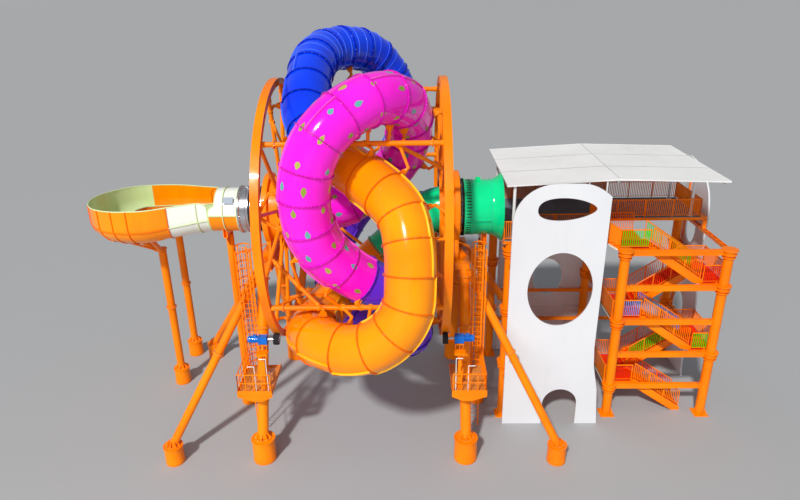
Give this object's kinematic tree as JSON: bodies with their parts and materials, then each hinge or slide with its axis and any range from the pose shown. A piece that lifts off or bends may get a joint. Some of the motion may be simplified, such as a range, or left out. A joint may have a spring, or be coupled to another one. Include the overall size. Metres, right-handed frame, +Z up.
{
  "type": "water slide tower with rotating tube wheel",
  "caption": "Closed tube slide wound through a large turning wheel on A-frame legs, fed from a roofed stair tower, with an open chute curving off the far side.",
  "frame": {"origin": "on the ground at the middle of the footprint", "axes": "+X along the wheel's axle from the chute to the stair tower, +Y to the rear, +Z up"},
  "size_m": [36.87, 18.6617, 22.3255],
  "materials": {
    "orange_paint": "gloss orange paint",
    "orange_shell": "gloss gel coat",
    "blue_shell": "gloss gel coat",
    "magenta_shell": "gloss gel coat",
    "purple_shell": "gloss gel coat",
    "green_shell": "gloss gel coat",
    "cream_shell": "gloss gel coat",
    "joint_steel": "satin",
    "seal_rubber": "matt",
    "motor_blue": "semi-gloss paint",
    "white_panel": "satin paint",
    "roof_sheet": "matt coated sheet",
    "red_tread": "matt paint"
  },
  "bodies": {
    "base": {"hub_yoke_left": "orange_paint", "support_leg_left_front": "orange_paint", "support_leg_left_rear": "orange_paint", "support_brace_left_front": "orange_paint", "support_brace_left_rear": "orange_paint", "service_platform_left": "orange_paint", "drive_unit_left": "motor_blue", "hub_yoke_right": "orange_paint", "support_leg_right_front": "orange_paint", "support_leg_right_rear": "orange_paint", "support_brace_right_front": "orange_paint", "support_brace_right_rear": "orange_paint", "service_platform_right": "orange_paint", "drive_unit_right": "motor_blue", "entry_seal_ring": "seal_rubber", "entry_housing": "green_shell", "entry_post": "orange_paint", "exit_swivel_joint": "joint_steel", "exit_cover_tube": "cream_shell", "chute_near_trough": "cream_shell", "chute_bend_trough": "orange_shell", "chute_far_trough": "orange_shell", "chute_column_front": "orange_paint", "chute_column_rear": "orange_paint", "exit_column": "orange_paint", "tower_column_left_front": "orange_paint", "tower_column_left_rear": "orange_paint", "tower_column_middle_front": "orange_paint", "tower_column_middle_rear": "orange_paint", "tower_column_right_front": "orange_paint", "tower_column_right_rear": "orange_paint", "stair_landing_left_1": "orange_paint", "stair_landing_left_3": "orange_paint", "stair_landing_right_2": "orange_paint", "stair_landing_right_4": "orange_paint", "stair_flight_1": "red_tread", "stair_flight_2": "red_tread", "stair_flight_3": "red_tread", "stair_flight_4": "red_tread", "stair_flight_5": "red_tread", "launch_deck": "orange_paint", "canopy_roof": "roof_sheet", "front_panel": "white_panel", "rear_panel": "white_panel", "side_panel": "white_panel"},
    "wheel": {"wheel_frame_left": "orange_paint", "wheel_frame_right": "orange_paint", "wheel_cross_brace_top_rear": "orange_paint", "wheel_cross_brace_lower_rear": "orange_paint", "wheel_cross_bar_bottom": "orange_paint", "wheel_cross_bar_top_front": "orange_paint", "wheel_cross_bar_front": "orange_paint", "tube_green": "green_shell", "tube_orange": "orange_shell", "tube_blue": "blue_shell", "tube_purple": "purple_shell", "tube_magenta": "magenta_shell"}
  },
  "joints": [
    {"name": "wheel_spin", "type": "hinge", "parent": "base", "child": "wheel", "pos_m": [-2.205, 0.272, 12.85], "axis": [1, 0, 0], "continuous": true}
  ]
}
